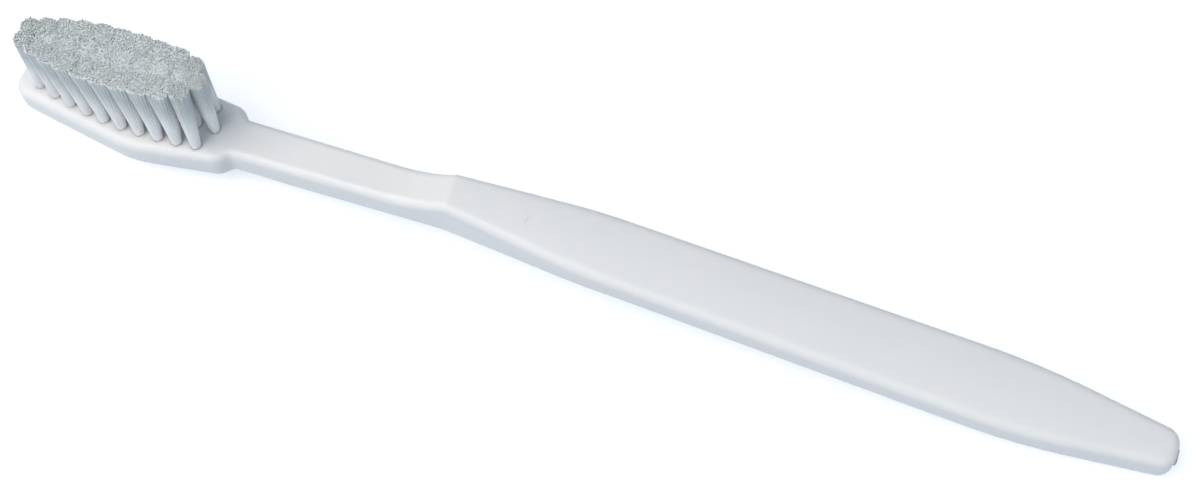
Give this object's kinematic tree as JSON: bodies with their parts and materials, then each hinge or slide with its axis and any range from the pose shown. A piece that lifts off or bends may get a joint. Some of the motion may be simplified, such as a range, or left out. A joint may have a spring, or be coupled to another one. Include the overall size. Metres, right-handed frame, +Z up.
{
  "type": "manual toothbrush",
  "caption": "White moulded toothbrush with a tapered head of upright bristle tufts, a slim neck and a flattish tapering grip that slopes back from a thumb ridge.",
  "frame": {"origin": "on the table, under the middle of the brush's bounding box", "axes": "+X from the tip of the head to the end of the handle, +Y to the right row of tufts, +Z up, with the brush lying on its back and its bristles up"},
  "size_m": [0.1534, 0.0116, 0.0179],
  "materials": {
    "handle_plastic": "satin moulded polypropylene, slightly translucent white",
    "bristle_nylon": "clear nylon bristles, cut flat",
    "anchor_metal": "plain strip"
  },
  "bodies": {
    "root": {"handle": "handle_plastic", "tuft_left_1": "bristle_nylon", "tuft_right_1": "bristle_nylon", "tuft_left_2": "bristle_nylon", "tuft_right_2": "bristle_nylon", "tuft_left_3": "bristle_nylon", "tuft_right_3": "bristle_nylon", "tuft_left_4": "bristle_nylon", "tuft_right_4": "bristle_nylon", "tuft_left_5": "bristle_nylon", "tuft_right_5": "bristle_nylon", "tuft_left_6": "bristle_nylon", "tuft_right_6": "bristle_nylon", "tuft_left_7": "bristle_nylon", "tuft_right_7": "bristle_nylon", "tuft_left_8": "bristle_nylon", "tuft_right_8": "bristle_nylon", "tuft_left_9": "bristle_nylon", "tuft_right_9": "bristle_nylon", "tuft_left_10": "bristle_nylon", "tuft_right_10": "bristle_nylon", "tuft_middle_1": "bristle_nylon", "tuft_middle_2": "bristle_nylon", "tuft_middle_3": "bristle_nylon", "tuft_middle_4": "bristle_nylon", "tuft_middle_5": "bristle_nylon", "tuft_middle_6": "bristle_nylon", "tuft_middle_7": "bristle_nylon", "tuft_middle_8": "bristle_nylon", "tuft_middle_9": "bristle_nylon", "tuft_anchors": "anchor_metal"}
  },
  "joints": []
}
